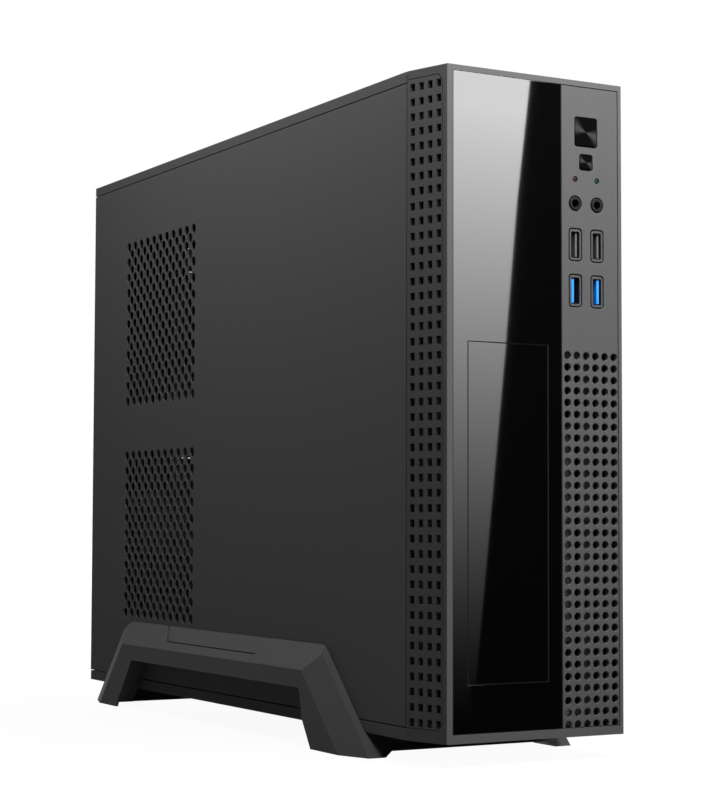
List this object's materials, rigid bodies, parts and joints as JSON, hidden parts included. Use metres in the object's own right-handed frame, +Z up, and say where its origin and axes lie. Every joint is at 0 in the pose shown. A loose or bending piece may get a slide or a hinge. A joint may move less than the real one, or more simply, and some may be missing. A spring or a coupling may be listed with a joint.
{
  "type": "desktop computer tower",
  "caption": "Slim upright desktop computer case on arched feet, with glossy front, blank drive bay, perforated intakes, push buttons, front sockets and a sliding side panel.",
  "frame": {"origin": "middle of the bounding box in plan, on the floor under the feet", "axes": "+X to the right seen from the front, +Y to the back, +Z up"},
  "size_m": [0.12, 0.394, 0.301],
  "materials": {
    "alloy_fins": "extruded",
    "bezel_plastic": "fine satin moulding",
    "board_green": "solder mask",
    "brass": "turned",
    "button_black": "spun black",
    "case_paint": "matt black powder coat",
    "cast_alloy": "cast and machined",
    "chip_nickel": "nickel plate",
    "control_grey": "fine brushed grey",
    "fan_plastic": "black moulding",
    "gloss_black": "mirror gloss black",
    "jack_plastic": "black moulding",
    "lead_black": "sleeved cord",
    "lead_red": "flat red cord",
    "light_green": "clear green",
    "light_red": "clear red",
    "port_steel": "plated steel",
    "screw_steel": "plated",
    "socket_plastic": "black moulding",
    "stand_plastic": "satin moulding",
    "tongue_blue": "blue moulding",
    "tongue_grey": "pale grey moulding",
    "zinc_steel": "zinc plated sheet"
  },
  "bodies": {
    "case": {"front_bezel": "bezel_plastic", "side_grille": "bezel_plastic", "gloss_panel": "gloss_black", "control_panel": "control_grey", "tact_switches": "socket_plastic", "drive_light": "light_red", "power_light": "light_green", "audio_jack_left": "jack_plastic", "audio_jack_right": "jack_plastic", "usb2_shells": "port_steel", "usb2_tongues": "tongue_grey", "usb3_shells": "port_steel", "usb3_tongues": "tongue_blue", "front_board": "board_green", "chassis_base": "case_paint", "chassis_top": "case_paint", "right_wall": "case_paint", "front_wall": "zinc_steel", "rear_wall": "case_paint", "stand_left": "stand_plastic", "stand_right": "stand_plastic", "stand_screws": "screw_steel", "drive_cage": "zinc_steel", "hard_drive": "cast_alloy", "drive_bracket": "zinc_steel", "drive_screws": "screw_steel", "main_board": "board_green", "standoffs": "brass", "board_screws": "screw_steel", "processor_socket": "socket_plastic", "processor": "chip_nickel", "heat_sink": "alloy_fins", "cooler_frame": "fan_plastic", "memory_sockets": "socket_plastic", "memory_module": "board_green", "expansion_sockets": "socket_plastic", "chipset_sink": "alloy_fins", "power_socket": "tongue_grey", "drive_ports": "socket_plastic", "rear_ports": "port_steel", "io_shield": "zinc_steel", "slot_covers": "zinc_steel", "slot_screws": "screw_steel", "mains_inlet": "jack_plastic", "supply_case": "zinc_steel", "supply_bracket": "zinc_steel", "mains_lead": "lead_black", "main_harness": "lead_black", "drive_power_lead": "lead_black", "drive_data_lead": "lead_red", "front_lead": "lead_black"},
    "power_button": {"power_button": "button_black"},
    "reset_button": {"reset_button": "button_black"},
    "bay_cover": {"bay_cover": "gloss_black"},
    "side_panel": {"side_panel": "case_paint"},
    "thumbscrew_lower": {"thumbscrew_lower": "screw_steel"},
    "thumbscrew_upper": {"thumbscrew_upper": "screw_steel"},
    "cooler_rotor": {"cooler_rotor": "fan_plastic"},
    "supply_rotor": {"supply_rotor": "fan_plastic"}
  },
  "joints": [
    {"name": "power_press", "type": "slide", "parent": "case", "child": "power_button", "axis": [0, 1, 0], "range_m": [0, 0.0018], "stiffness_N_per_m": 900},
    {"name": "reset_press", "type": "slide", "parent": "case", "child": "reset_button", "axis": [0, 1, 0], "range_m": [0, 0.0012], "stiffness_N_per_m": 1200},
    {"name": "bay_cover_pull", "type": "slide", "parent": "case", "child": "bay_cover", "axis": [0, -1, 0], "range_m": [0, 0.04]},
    {"name": "panel_slide", "type": "slide", "parent": "case", "child": "side_panel", "axis": [0, 1, 0], "range_m": [0, 0.018]},
    {"name": "thumb_turn_lower", "type": "hinge", "parent": "side_panel", "child": "thumbscrew_lower", "pos_m": [-0.0426, 0.19, 0.056], "axis": [0, 1, 0], "continuous": true},
    {"name": "thumb_turn_upper", "type": "hinge", "parent": "side_panel", "child": "thumbscrew_upper", "pos_m": [-0.0426, 0.19, 0.256], "axis": [0, 1, 0], "continuous": true},
    {"name": "cooler_spin", "type": "hinge", "parent": "case", "child": "cooler_rotor", "pos_m": [0, 0.108, 0.205], "axis": [1, 0, 0], "continuous": true},
    {"name": "supply_spin", "type": "hinge", "parent": "case", "child": "supply_rotor", "pos_m": [0.004, -0.02, 0.2722], "axis": [0, 1, 0], "continuous": true}
  ]
}
